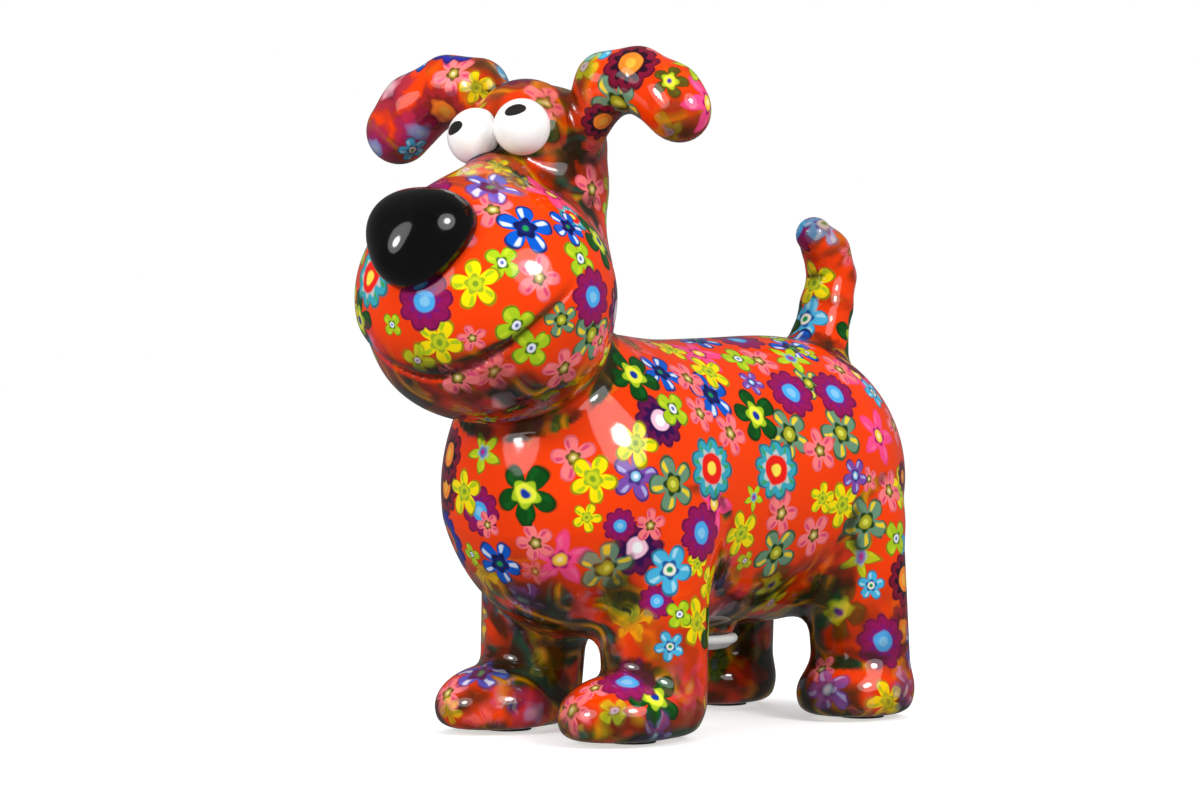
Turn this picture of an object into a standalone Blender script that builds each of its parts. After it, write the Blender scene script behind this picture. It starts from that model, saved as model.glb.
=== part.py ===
"""Figural coin bank: a hollow glazed ceramic dog with a soft rubber plug under the belly.

The dog faces -Y, its left side is +X and it stands on z = 0.  The skin is one soft form made of
overlapping volumes.  Luting planes divide it into the castings that a potter would join: torso,
head, ears, tail and legs.  The volumes are written in millimetres and built in metres.
"""
import math

import bmesh
import bpy
from mathutils import Euler, Matrix, Vector

MM = 0.001

# ---- driving dimensions (mm) ---------------------------------------------------------------
WALL = 4.6              # thickness of the cast walls
GAP = 0.3               # clearance between pieces that touch
SKIN_VOXEL = 3.0        # fineness of the soft skin
SKIN_SHARE = 0.11       # share of the skin's faces that is kept
CAVITY_VOXEL = 4.0
CAVITY_SHARE = 0.10
SKIN_GROWTH = 0.5       # makes up for what smoothing takes off
SOLE_HEIGHT = 1.5       # underside of the paws, above the pads

PAD_RADIUS = 8.0
PAD_THICKNESS = 1.2
PAD_SET_BACK = 4.0      # from the middle of the paw towards the heel

SEAT_HEIGHT = 31.5      # flat seat of the plug on the belly
SEAT_RADIUS = 14.5
SEAT_BOSS = (-1.0, 8.0)     # thickening of the skin behind the seat, from and to
BORE_RADIUS = 11.5
BORE_REACH = (-16.5, 25.0)  # from below the belly to inside the hollow, about the seat
SEAT_RELIEF = (4.0, 26.5)   # room kept clear round the plug's flange, and below the seat
PLUG_RADIUS = 16.0
PLUG_LENGTH = 9.5       # how far the plug's neck reaches into the belly
PLUG_WALL = 3.0
PLUG_Y = -1.0

SLOT_LENGTH = 34.0      # coin slot, upright on the back of the head
SLOT_WIDTH = 5.0
SLOT_X = -1.0
SLOT_HEIGHT = 169.0     # height of the slot's middle
SLOT_START = -77.5      # the cut runs from inside the head out through its back
SLOT_DEPTH = 42.0
SLOT_END_STEPS = 8

STAND_X = -2.1          # moves the form so that its box stands centred on the origin
STAND_Y = 36.7

HEAD_YAW = math.radians(12.0)      # the head turns to the dog's left
HEAD_PIVOT = Vector((0.0, -65.5, 150.0))
EYE_RADIUS = 8.7

# ---- volumes of the form (mm) --------------------------------------------------------------
# ball: centre, radii.  limb: two or more (centre, radius) knots joined by tapering round rods.
# The chest and the rump are joined in the same way.
CHEST_BALL = ((0, -57, 85), (46, 49, 52))
RUMP_BALL = ((0, 42, 85), (46, 50, 50))
NECK_FOOT = ((0, -68, 92), 36)
NECK_TOP = ((0, -20, 150), 20)          # in the head's own axes
HEAD_BALLS = (
    ((0, -48, 148), (42.5, 44, 40)),    # muzzle
    ((0, -45, 136), (39, 40, 29)),      # jaw
    ((0, -27, 150), (29, 31, 36)),      # cheeks
)
HEAD_LIMBS = (
    (((0, -42, 182), 14), ((0, -60, 171), 17)),                          # bridge
    (((0, -17, 160), 24), ((0, -14, 185), 20), ((0, -10, 200), 18.5)),   # back of the head
    (((0, -14, 185), 20), ((0, -24, 202.5), 17.5)),                      # forehead
    (((0, -10, 200), 18.5), ((0, -24, 202.5), 17.5)),                    # crown
)
EAR_LIMBS = {
    "left": (((16, -15, 203), 8), ((26, -15, 219), 9.3), ((38, -15, 220), 9.5),
             ((50, -15.5, 214), 10), ((54.5, -16, 209), 10.3)),
    "right": (((-15, -15, 204), 8), ((-25, -15, 218.5), 9.5), ((-37, -15, 219.5), 10),
              ((-50, -15.5, 213), 10.8), ((-56.5, -16, 205.5), 11.3)),
}
TAIL_LIMB = (((0, 66, 128), 14), ((0, 72, 146), 9), ((0, 75, 157), 8.2), ((0, 72, 166), 7.8),
             ((0, 65, 172), 6.6))

# leg: centre x and y, ankle radius, thigh radius, y and half length of the paw
LEGS = {
    "front_left": (29.2, -52, 17.7, 19.5, -67, 25),
    "front_right": (-29.2, -52, 17.7, 19.5, -67, 25),
    "rear_left": (32.5, 53, 17.5, 18.5, 49, 22),
    "rear_right": (-32.5, 53, 17.5, 18.5, 49, 22),
}
ANKLE_HEIGHT = 14
THIGH_HEIGHT = 66
THIGH_LEAN = (0.92, 0.97)   # the thigh leans in towards the middle of the belly
PAW_WIDTH = 19.5
PAW_HEIGHT = 23.5
PAW_MIDDLE = 9

NOSE_BALL = ((0, -86, 165), (19.5, 15.5, 18))
EYE_CENTRES = {"left": (9.6, -40.5, 205.0), "right": (-8.4, -40.5, 202.0)}

# ---- luting planes (mm): a point on the plane and its normal, towards the smaller casting ---
NECK_CUT = ((0, -75, 124), (0, -0.47, 0.88))
TAIL_CUT = ((0, 69.5, 137), (0, 0.316, 0.949))
EAR_CUT = ((20.5, -15, 210.5), (0.6, 0, 0.8))      # left ear, in the head's own axes
NECK_REACH = (260, 260, 200)    # room for the casting beyond its plane: up the slope, level, away
TAIL_REACH = (80, 60, 80)
EAR_REACH = (100, 60, 90)
LEG_CUT_INNER = 9.0         # a leg's luting line rises outwards from the belly to the flank
LEG_CUT_OUTER = 62.0
LEG_CUT_LOW = 31.5
LEG_CUT_SLOPE = 0.55
LEG_ROOM = 3.0              # clear space around a leg inside its block

GROUND_DEPTH = 120.0        # a slab this thick and four times as wide is taken away below the soles


def clear_scene():
    for item in list(bpy.data.objects):
        bpy.data.objects.remove(item, do_unlink=True)


def head_matrix():
    """The head's own axes: turned about an upright line through the head (mm)."""
    turn = Euler((0.0, 0.0, HEAD_YAW)).to_matrix().to_4x4()
    return Matrix.Translation(HEAD_PIVOT) @ turn @ Matrix.Translation(-HEAD_PIVOT + Vector((0, -65.5, 0)))


HEAD = head_matrix()
UPRIGHT = Matrix.Identity(4)
BUILD = Matrix.Scale(MM, 4) @ Matrix.Translation((STAND_X, STAND_Y, 0))     # from the tables to metres


# ---- mesh helpers --------------------------------------------------------------------------

def new_object(name, mesh):
    item = bpy.data.objects.new(name, mesh)
    bpy.context.scene.collection.objects.link(item)
    return item


def guide(item):
    """A cutter or a construction body, which is not a piece of the bank."""
    item.hide_render = True
    item.display_type = "WIRE"
    return item


def mesh_of(bm, name):
    mesh = bpy.data.meshes.new(name)
    bm.to_mesh(mesh)
    bm.free()
    return mesh


def evaluated_mesh(item):
    """The mesh of an object with its modifiers applied."""
    bpy.context.view_layer.update()
    depsgraph = bpy.context.evaluated_depsgraph_get()
    return bpy.data.meshes.new_from_object(item.evaluated_get(depsgraph))


def add_ball(bm, centre, radii, axes, growth, detail=4):
    size = Matrix.Diagonal(Vector([r + growth for r in radii])).to_4x4()
    place = BUILD @ axes @ Matrix.Translation(centre) @ size
    bmesh.ops.create_icosphere(bm, subdivisions=detail, radius=1.0, matrix=place)


def add_hull(bm, balls, axes, growth):
    """The hull of a few balls."""
    rod = bmesh.new()
    for centre, radii in balls:
        add_ball(rod, centre, radii, axes, growth, detail=3)
    hull = bmesh.ops.convex_hull(rod, input=rod.verts)
    spare = [e for e in hull["geom_interior"] + hull["geom_unused"] if isinstance(e, bmesh.types.BMVert)]
    bmesh.ops.delete(rod, geom=spare, context="VERTS")
    mesh = mesh_of(rod, "rod")
    bm.from_mesh(mesh)
    bpy.data.meshes.remove(mesh)


def add_rod(bm, start, end, axes, growth):
    """A tapering rod with round ends."""
    add_hull(bm, [(centre, (radius,) * 3) for centre, radius in (start, end)], axes, growth)


def add_limb(bm, knots, axes, growth):
    for start, end in zip(knots[:-1], knots[1:]):
        add_rod(bm, start, end, axes, growth)


def add_disc(bm, radius, low, high, centre=(0, 0), segments=48):
    place = BUILD @ Matrix.Translation((centre[0], centre[1], (low + high) / 2))
    bmesh.ops.create_cone(bm, cap_ends=True, segments=segments, radius1=radius, radius2=radius,
                          depth=high - low, matrix=place)


def add_leg(bm, leg, growth):
    x, y, ankle, thigh, paw_y, paw_length = leg
    hip = (x * THIGH_LEAN[0], y * THIGH_LEAN[1], THIGH_HEIGHT)
    add_rod(bm, ((x, y, ANKLE_HEIGHT), ankle), (hip, thigh), UPRIGHT, growth)
    add_ball(bm, (x, paw_y, PAW_MIDDLE), (PAW_WIDTH, paw_length, PAW_HEIGHT - PAW_MIDDLE), UPRIGHT, growth)


def soft_mesh(name, bm, voxel, share, smoothing):
    """Melts overlapping volumes into one smooth closed mesh."""
    item = guide(new_object(name + "_volumes", mesh_of(bm, name + "_volumes")))
    melt = item.modifiers.new("melt", "REMESH")
    melt.mode = "VOXEL"
    melt.voxel_size = voxel * MM
    if smoothing:
        smooth = item.modifiers.new("smooth", "SMOOTH")
        smooth.factor = 0.5
        smooth.iterations = smoothing
    thin = item.modifiers.new("thin", "DECIMATE")
    thin.ratio = share
    mesh = evaluated_mesh(item)
    mesh.name = name
    bpy.data.objects.remove(item, do_unlink=True)
    return mesh


# ---- the skin and the cavity ---------------------------------------------------------------

def skin_mesh():
    bm = bmesh.new()
    add_hull(bm, (CHEST_BALL, RUMP_BALL), UPRIGHT, SKIN_GROWTH)
    for centre, radii in HEAD_BALLS:
        add_ball(bm, centre, radii, HEAD, SKIN_GROWTH)
    for knots in HEAD_LIMBS + tuple(EAR_LIMBS.values()):
        add_limb(bm, knots, HEAD, SKIN_GROWTH)
    add_rod(bm, NECK_FOOT, (HEAD @ Vector(NECK_TOP[0]), NECK_TOP[1]), UPRIGHT, SKIN_GROWTH)
    add_limb(bm, TAIL_LIMB, UPRIGHT, SKIN_GROWTH)
    for leg in LEGS.values():
        add_leg(bm, leg, SKIN_GROWTH)
    low, high = SEAT_BOSS
    add_disc(bm, SEAT_RADIUS, SEAT_HEIGHT + low, SEAT_HEIGHT + high, (0, PLUG_Y))
    return soft_mesh("skin", bm, SKIN_VOXEL, SKIN_SHARE, 6)


def cavity_mesh():
    bm = bmesh.new()
    add_hull(bm, (CHEST_BALL, RUMP_BALL), UPRIGHT, -WALL)
    for centre, radii in HEAD_BALLS:
        add_ball(bm, centre, radii, HEAD, -WALL)
    for knots in HEAD_LIMBS:
        add_limb(bm, knots, HEAD, -WALL)
    add_rod(bm, NECK_FOOT, (HEAD @ Vector(NECK_TOP[0]), NECK_TOP[1]), UPRIGHT, -WALL)
    for leg in LEGS.values():
        add_leg(bm, leg, -WALL)
    return soft_mesh("cavity", bm, CAVITY_VOXEL, CAVITY_SHARE, 2)


# ---- cutters -------------------------------------------------------------------------------

def cutter(name, bm):
    return guide(new_object(name, mesh_of(bm, name)))


def beyond(name, cut, axes, margin, reach):
    """A block whose flat face lies on a luting plane and which fills the side that the normal points to.

    Reach is its size (mm) up the plane's slope, level along the plane, and away from it.
    """
    point, normal = cut
    normal = Vector(normal).normalized()
    level = Vector((0, 1, 0)) if normal.y == 0 else Vector((1, 0, 0))
    turn = Matrix((level.cross(normal), level, normal)).transposed().to_4x4()
    start = Vector(point) + normal * margin
    size = Matrix.Diagonal(Vector(reach)).to_4x4()
    place = BUILD @ axes @ Matrix.Translation(start) @ turn @ size
    bm = bmesh.new()
    bmesh.ops.create_cube(bm, size=1.0, matrix=place @ Matrix.Translation((0, 0, 0.5)))
    return cutter(name, bm)


def leg_block(name, leg, margin):
    """The space of one leg: upright sides and a sloping top that meets the belly along the luting line."""
    x, y, ankle, thigh, paw_y, paw_length = leg
    front = paw_y - paw_length - LEG_ROOM + margin
    back = y + thigh + LEG_ROOM - margin
    bm = bmesh.new()
    corners = []
    for across in (LEG_CUT_INNER + margin, LEG_CUT_OUTER - margin):
        top = LEG_CUT_LOW + (across - LEG_CUT_INNER) * LEG_CUT_SLOPE - margin
        for along in (front, back):
            for height in (-LEG_CUT_LOW, top):
                corners.append(bm.verts.new(BUILD @ Vector((math.copysign(across, x), along, height))))
    bmesh.ops.convex_hull(bm, input=corners)
    bmesh.ops.recalc_face_normals(bm, faces=bm.faces)
    return cutter(name, bm)


def ear_block(name, side, margin):
    point, normal = EAR_CUT
    cut = ((point[0] * side, point[1], point[2]), (normal[0] * side, 0, normal[2]))
    return beyond(name, cut, HEAD, margin, EAR_REACH)


def tail_block(name, margin):
    return beyond(name, TAIL_CUT, UPRIGHT, margin, TAIL_REACH)


def neck_block(name, margin):
    return beyond(name, NECK_CUT, UPRIGHT, margin, NECK_REACH)


def ground_cutter(name, top):
    """A wide slab that takes away everything below a height."""
    bm = bmesh.new()
    place = Matrix.Translation((0, 0, (top - GROUND_DEPTH / 2) * MM)) @ Matrix.Diagonal((4, 4, 1, 1))
    bmesh.ops.create_cube(bm, size=GROUND_DEPTH * MM, matrix=place)
    return cutter(name, bm)


def bore_cutter():
    bm = bmesh.new()
    low, high = BORE_REACH
    add_disc(bm, BORE_RADIUS, SEAT_HEIGHT + low, SEAT_HEIGHT + high, (0, PLUG_Y))
    return cutter("bore_cutter", bm)


def seat_cutter():
    bm = bmesh.new()
    around, below = SEAT_RELIEF
    add_disc(bm, PLUG_RADIUS + around, SEAT_HEIGHT - below, SEAT_HEIGHT, (0, PLUG_Y))
    return cutter("seat_cutter", bm)


def slot_cutter():
    """An upright slot with round ends, through the back wall of the head."""
    bm = bmesh.new()
    half = (SLOT_LENGTH - SLOT_WIDTH) / 2
    outline = []
    for end, first in ((half, 0.0), (-half, math.pi)):
        for step in range(SLOT_END_STEPS + 1):
            angle = first + math.pi * step / SLOT_END_STEPS
            outline.append((SLOT_WIDTH / 2 * math.cos(angle), end + SLOT_WIDTH / 2 * math.sin(angle)))
    face = bm.faces.new([bm.verts.new((x, SLOT_START, z)) for x, z in outline])
    grown = bmesh.ops.extrude_face_region(bm, geom=[face])
    moved = [v for v in grown["geom"] if isinstance(v, bmesh.types.BMVert)]
    bmesh.ops.translate(bm, verts=moved, vec=(0, SLOT_DEPTH, 0))
    bmesh.ops.recalc_face_normals(bm, faces=bm.faces)
    bmesh.ops.transform(bm, matrix=BUILD @ Matrix.Translation((SLOT_X, 0, SLOT_HEIGHT)), verts=bm.verts)
    return cutter("slot_cutter", bm)


# ---- pieces --------------------------------------------------------------------------------

def material(name, colour, roughness, metallic=0.0):
    made = bpy.data.materials.new(name)
    made.use_nodes = True
    shader = made.node_tree.nodes["Principled BSDF"]
    shader.inputs["Base Color"].default_value = (*colour, 1.0)
    shader.inputs["Roughness"].default_value = roughness
    shader.inputs["Metallic"].default_value = metallic
    made.diffuse_color = (*colour, 1.0)
    return made


def carve(item, operation, *cutters):
    for tool in cutters:
        step = item.modifiers.new(tool.name, "BOOLEAN")
        step.operation = operation
        step.solver = "EXACT"
        step.object = tool


def casting(name, skin, finish):
    item = new_object(name, skin.copy())
    item.data.name = name
    item.data.materials.clear()
    item.data.materials.append(finish)
    item.data.shade_smooth()
    return item


def make_castings(skin, cavity_body):
    """The torso, head, ears, tail and legs, each cut from the one skin by its luting planes."""
    inner, outer = GAP / 2, -GAP / 2
    ground = ground_cutter("ground_cutter", SOLE_HEIGHT)

    torso = casting("torso_shell", skin, material("glaze_torso", (0.87, 0.10, 0.02), 0.12))
    carve(torso, "DIFFERENCE", cavity_body)
    carve(torso, "DIFFERENCE", neck_block("neck_block_outer", outer), tail_block("tail_block_outer", outer))
    for place, leg in LEGS.items():
        carve(torso, "DIFFERENCE", leg_block("leg_block_outer_" + place, leg, outer))
    carve(torso, "DIFFERENCE", seat_cutter(), bore_cutter())

    head = casting("head_shell", skin, material("glaze_head", (0.88, 0.13, 0.02), 0.12))
    carve(head, "INTERSECT", neck_block("neck_block_inner", inner))
    carve(head, "DIFFERENCE", cavity_body, slot_cutter())
    for place, side in (("left", 1), ("right", -1)):
        carve(head, "DIFFERENCE", ear_block("ear_block_outer_" + place, side, outer))
        ear = casting("ear_" + place, skin, material("glaze_ear_" + place, (0.75, 0.12, 0.03), 0.12))
        carve(ear, "INTERSECT", ear_block("ear_block_inner_" + place, side, inner))

    tail = casting("tail", skin, material("glaze_tail", (0.80, 0.12, 0.03), 0.12))
    carve(tail, "INTERSECT", tail_block("tail_block_inner", inner))

    for place, leg in LEGS.items():
        item = casting("leg_" + place, skin, material("glaze_leg_" + place, (0.70, 0.11, 0.03), 0.12))
        carve(item, "INTERSECT", leg_block("leg_block_inner_" + place, leg, inner))
        carve(item, "DIFFERENCE", cavity_body, ground)


def make_face(skin):
    """The nose and the eyes, which are luted on to the outside of the head."""
    near_skin = guide(new_object("near_skin", skin.copy()))
    swell = near_skin.modifiers.new("clearance", "DISPLACE")
    swell.strength = GAP * MM
    swell.mid_level = 0.0

    bm = bmesh.new()
    centre, radii = NOSE_BALL
    add_ball(bm, centre, radii, HEAD, 0.0, detail=3)
    nose = new_object("nose", mesh_of(bm, "nose"))
    nose.data.materials.append(material("glaze_black", (0.01, 0.01, 0.011), 0.08))
    nose.data.shade_smooth()
    carve(nose, "DIFFERENCE", near_skin)

    white = material("glaze_white", (0.9, 0.9, 0.88), 0.1)
    for place, centre in EYE_CENTRES.items():
        bm = bmesh.new()
        add_ball(bm, centre, (EYE_RADIUS,) * 3, HEAD, 0.0, detail=3)
        eye = new_object("eye_" + place, mesh_of(bm, "eye_" + place))
        eye.data.materials.append(white)
        eye.data.shade_smooth()
        carve(eye, "DIFFERENCE", near_skin)


def turned(name, profile, segments=24):
    """A round piece from a profile of (radius, height) points that starts and ends on its axis."""
    bm = bmesh.new()
    rings = []
    for radius, height in profile:
        if radius == 0:
            rings.append([bm.verts.new((0, 0, height * MM))])
            continue
        angles = (2 * math.pi * k / segments for k in range(segments))
        rings.append([bm.verts.new((radius * MM * math.cos(a), radius * MM * math.sin(a), height * MM))
                      for a in angles])
    for lower, upper in zip(rings[:-1], rings[1:]):
        for k in range(segments):
            corners = (lower[k % len(lower)], lower[(k + 1) % len(lower)],
                       upper[(k + 1) % len(upper)], upper[k % len(upper)])
            bm.faces.new(list(dict.fromkeys(corners)))
    bmesh.ops.recalc_face_normals(bm, faces=bm.faces)
    return mesh_of(bm, name)


def make_plug():
    """The rubber plug: a domed flange and a hollow ribbed neck, pulled straight down to empty the bank."""
    neck = BORE_RADIUS - GAP
    hollow = neck - PLUG_WALL
    profile = [
        (0, -6.2), (6, -6.0), (10.5, -5.2), (13.6, -4.0), (15.4, -3.0),
        (PLUG_RADIUS, -2.0), (PLUG_RADIUS, -1.2), (15.2, -0.5), (14.0, -GAP),
        (neck, -GAP), (neck, 1.2), (neck - 0.5, 1.8), (neck - 0.5, 5.2), (neck, 6.0), (neck, 7.0),
        (neck - 1.6, PLUG_LENGTH), (hollow, PLUG_LENGTH), (hollow, -0.5), (hollow - 1.2, -1.8), (0, -1.8),
    ]
    pull = bpy.data.objects.new("stopper_pull", None)
    pull.location = BUILD @ Vector((0, PLUG_Y, SEAT_HEIGHT))
    bpy.context.scene.collection.objects.link(pull)
    plug = new_object("stopper", turned("stopper", profile))
    plug.data.materials.append(material("rubber_white", (0.85, 0.85, 0.83), 0.45))
    plug.data.shade_smooth()
    plug.parent = pull


def make_pads():
    """Thin soft pads that keep the glaze off the table."""
    soft = material("pad_rubber", (0.05, 0.05, 0.055), 0.8)
    for place, leg in LEGS.items():
        bm = bmesh.new()
        add_disc(bm, PAD_RADIUS, 0.0, PAD_THICKNESS, (leg[0], leg[4] + PAD_SET_BACK), segments=24)
        pad = new_object("foot_pad_" + place, mesh_of(bm, "foot_pad_" + place))
        pad.data.materials.append(soft)


def main():
    clear_scene()
    skin = skin_mesh()
    cavity_body = guide(new_object("cavity", cavity_mesh()))
    carve(cavity_body, "DIFFERENCE", ground_cutter("sole_cutter", SOLE_HEIGHT + WALL))
    make_castings(skin, cavity_body)
    make_face(skin)
    make_plug()
    make_pads()


main()
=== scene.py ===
"""Looks of a glazed ceramic dog money box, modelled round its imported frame.

The skin is one soft form, written in millimetres as a distance: below zero inside the clay.  It is
turned into a fine mesh once, divided along the luting lines into the castings, and painted with a
scatter of flower transfers under a clear glaze.
"""
import functools
import math
from typing import NamedTuple

import bmesh
import bpy
import numpy as np
from bpy.props import FloatProperty, FloatVectorProperty, IntProperty, PointerProperty
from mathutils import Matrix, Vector


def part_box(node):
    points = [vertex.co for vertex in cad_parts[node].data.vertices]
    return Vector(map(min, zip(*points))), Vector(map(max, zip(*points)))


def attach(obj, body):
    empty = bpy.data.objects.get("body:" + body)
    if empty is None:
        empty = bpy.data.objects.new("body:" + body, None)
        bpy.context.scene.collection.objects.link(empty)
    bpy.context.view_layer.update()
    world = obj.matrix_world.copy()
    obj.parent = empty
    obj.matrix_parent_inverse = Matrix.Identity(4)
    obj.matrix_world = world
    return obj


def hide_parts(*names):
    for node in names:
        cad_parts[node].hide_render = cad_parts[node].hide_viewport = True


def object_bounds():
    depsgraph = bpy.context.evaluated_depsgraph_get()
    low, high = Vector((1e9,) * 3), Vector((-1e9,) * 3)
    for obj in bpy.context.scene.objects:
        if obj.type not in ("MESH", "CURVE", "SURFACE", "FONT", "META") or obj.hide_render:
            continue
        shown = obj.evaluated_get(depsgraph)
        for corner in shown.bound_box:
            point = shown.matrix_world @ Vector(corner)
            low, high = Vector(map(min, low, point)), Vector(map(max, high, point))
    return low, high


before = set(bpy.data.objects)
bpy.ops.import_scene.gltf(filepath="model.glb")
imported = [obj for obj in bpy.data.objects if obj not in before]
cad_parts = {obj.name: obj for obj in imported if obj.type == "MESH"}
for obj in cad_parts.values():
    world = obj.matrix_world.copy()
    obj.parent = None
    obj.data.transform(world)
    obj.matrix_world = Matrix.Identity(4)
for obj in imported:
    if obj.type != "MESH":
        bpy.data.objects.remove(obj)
CAD_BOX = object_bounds()

bl_info = {
    "name": "Ceramic dog money box",
    "version": (1, 0, 0),
    "blender": (4, 5, 0),
    "location": "3D View > Sidebar > Money Box",
    "description": "Casts, paints and glazes a ceramic dog money box round its packed frame",
    "category": "Object",
}

MM = 0.001

# ---- the form (mm) ----
PLUG_PLACE = np.array((0.0, -1.0))          # the plug's axis in these tables
PLUG_LOW, PLUG_HIGH = (np.array(corner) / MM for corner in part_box("stopper"))
STAND = np.array((*((PLUG_LOW + PLUG_HIGH)[:2] / 2 - PLUG_PLACE), 0.0))     # from the tables to the frame

WALL = 4.6
SOLE_HEIGHT = 1.5
SOLE_ROUNDING = 4.0

HEAD_YAW = math.radians(12.0)
HEAD_PIVOT = np.array((0.0, -65.5, 0.0))
HEAD_TURN = np.array(((math.cos(HEAD_YAW), -math.sin(HEAD_YAW), 0.0),
                      (math.sin(HEAD_YAW), math.cos(HEAD_YAW), 0.0),
                      (0.0, 0.0, 1.0)))

# ball: centre, radii.  knots of a limb: centre, radius.
CHEST = ((0, -57, 85), (46, 49, 52))
BELLY = ((0, -5, 83.5), (44, 60, 51))
RUMP = ((0, 42, 85), (46, 50, 50))
NECK_FOOT = ((0, -68, 92), 36)
NECK_TOP = ((0, -20, 150), 20)              # in the head's own axes
MUZZLE = ((0, -48, 148), (42.5, 44, 40))
JAW = ((0, -45, 136), (39, 40, 29))
CHEEKS = ((0, -28, 150), (27, 30, 36))
BRIDGE = (((0, -42, 182), 14), ((0, -60, 171), 17))
BACK_OF_HEAD = (((0, -17, 160), 24), ((0, -14, 185), 20), ((0, -10, 200), 18.5))
CROWN = (((0, -14, 185), 20), ((0, -24, 202.5), 17.5), ((0, -10, 200), 18.5))
EARS = {
    "left": (((16, -15, 203), 8), ((26, -15, 219), 9.3), ((38, -15, 220), 9.5),
             ((50, -15.5, 214), 10), ((54.5, -16, 209), 10.3)),
    "right": (((-15, -15, 204), 8), ((-25, -15, 218.5), 9.5), ((-37, -15, 219.5), 10),
              ((-50, -15.5, 213), 10.8), ((-56.5, -16, 205.5), 11.3)),
}
TAIL = (((0, 66, 128), 13), ((0, 72, 146), 9), ((0, 75, 157), 8.2), ((0, 72, 166), 7.8),
        ((0, 65, 172), 6.6))
# leg: centre x and y, ankle radius, thigh radius, y and half length of the paw
LEGS = {
    "front_left": (29.2, -52, 17.7, 19.5, -67, 25),
    "front_right": (-29.2, -52, 17.7, 19.5, -67, 25),
    "rear_left": (32.5, 53, 17.5, 18.0, 49, 22),
    "rear_right": (-32.5, 53, 17.5, 18.0, 49, 22),
}
ANKLE_HEIGHT = 14
THIGH_HEIGHT = 66
THIGH_LEAN = (0.92, 0.97)
PAW_WIDTH = 19.5
PAW_HEIGHT = 14.5
PAW_MIDDLE = 9

# the mouth: a groove round the front of the muzzle that rises to the cheeks
MOUTH_LOW = 123.0
MOUTH_RISE = 17.7           # mm for each radian squared
MOUTH_END = 1.16            # radians from the middle of the muzzle
MOUTH_FADE = 0.22
MOUTH_DEPTH = 2.0
MOUTH_WIDTH = 1.6
JAW_SET = 1.9               # how far the jaw sits back under the lip
JAW_DROP = 24.0

SLOT_LENGTH = 34.0
SLOT_WIDTH = 5.0
SLOT_X = -1.0
SLOT_HEIGHT = 169.0
SLOT_START = -77.5
SLOT_DEPTH = 42.0
SLOT_LIP = 2.2              # radius of the slot's ends
SLOT_ROUNDING = SLOT_LIP * 1.6

SEAT_HEIGHT = 31.5
SEAT_RADIUS = 14.5
SEAT_BOSS = 8.0
SEAT_RELIEF = 20.0
SEAT_ROUNDING = 1.0
BORE_RADIUS = 11.5
BORE_REACH = 24.0           # from the seat up into the hollow
BORE_ROUNDING = 1.5
PLUG_GAP = 0.3

NOSE_SIDE = ((6.5, -84.2, 170.3), (11.5, 14.2, 11.4))
NOSE_TIP = ((0.0, -89.0, 159.8), (10.3, 13.7, 9.6))
NOSE_ROOM, EYE_ROOM = 6, 3  # how far the mesh grid reaches past the CAD piece
EYE_RADIUS = {"left": 9.35, "right": 9.5}
EYE_CENTRES = {"left": (10.0, -42.0, 203.9), "right": (-7.9, -42.0, 201.2)}
EYE_GAZE = {"left": (0.22, -0.79, 0.575), "right": (-0.33, -0.9, 0.28)}
PUPIL = (3.9, 2.4)          # half width and half height of the painted pupil
PUPIL_TILT = math.radians(-18.0)

# ---- studio ----
# direction from the bank (azimuth from -Y towards +X, elevation), distance, width (m), radiance
SOFTBOXES = (("key_box", 88, 27, 1.0, 0.68, 3.2), ("key_bulb", 88, 28, 0.98, 0.22, 24.0),
             ("fill_box", -2, 21, 1.0, 0.68, 2.8), ("fill_bulb", -2, 20, 0.98, 0.22, 24.0))
SKY_POWER = 1.2
SKY_ANGLE = math.radians(80.0)
PAPER_LIGHT = 0.33          # the paper as a light
PAPER_GLOSS = 0.13          # the paper mirrored in the glaze

# ---- luting planes (mm): a point on the plane and its normal, towards the smaller casting ----
NECK_CUT = ((0, -75, 124), (0, -0.47, 0.88))
TAIL_CUT = ((0, 69.5, 137), (0, 0.316, 0.949))
EAR_CUT = ((20.5, -15, 210.5), (0.6, 0, 0.8))       # left ear, in the head's own axes
LEG_CUT_INNER = 9.0
LEG_CUT_LOW = 31.5
LEG_CUT_SLOPE = 0.55
LEG_CUT_NEAR = 16.0         # nothing this close to the middle of the belly is leg
IN_PLANE = 0.02             # how near a luting plane counts as in it

CASTINGS = ("torso_shell", "head_shell", "ear_left", "ear_right", "tail",
            "leg_front_left", "leg_front_right", "leg_rear_left", "leg_rear_right")


# ---- distances ----

def ball(points, centre, radii):
    """Distance from an egg-shaped ball, close to true near its skin."""
    offset = points - np.array(centre, float)
    radii = np.array(radii, float)
    near = np.linalg.norm(offset / radii, axis=-1)
    slope = np.linalg.norm(offset / radii ** 2, axis=-1)
    return near * (near - 1) / np.maximum(slope, 1e-9)


def rod(points, start, end):
    """Distance from a tapering rod with round ends."""
    (a, wide), (b, narrow) = start, end
    a, b = np.array(a, float), np.array(b, float)
    axis = b - a
    length = np.linalg.norm(axis)
    axis = axis / length
    sine = (wide - narrow) / length
    offset = points - a
    along = offset @ axis
    out = np.sqrt(np.maximum(np.einsum("...i,...i", offset, offset) - along ** 2, 0.0))
    # the nearest round section lies where the slanted side's normal meets the axis
    share = np.clip(along + out * sine / math.sqrt(1 - sine ** 2), 0.0, length)
    return np.hypot(along - share, out) - (wide + (narrow - wide) * share / length)


def melt(a, b, width):
    """Union of two forms with a soft fillet."""
    share = np.maximum(width - np.abs(a - b), 0.0) / width
    return np.minimum(a, b) - share ** 2 * width / 4


def cut(a, b, width):
    """Form a without form b, with a soft edge."""
    return -melt(-a, b, width)


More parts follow.
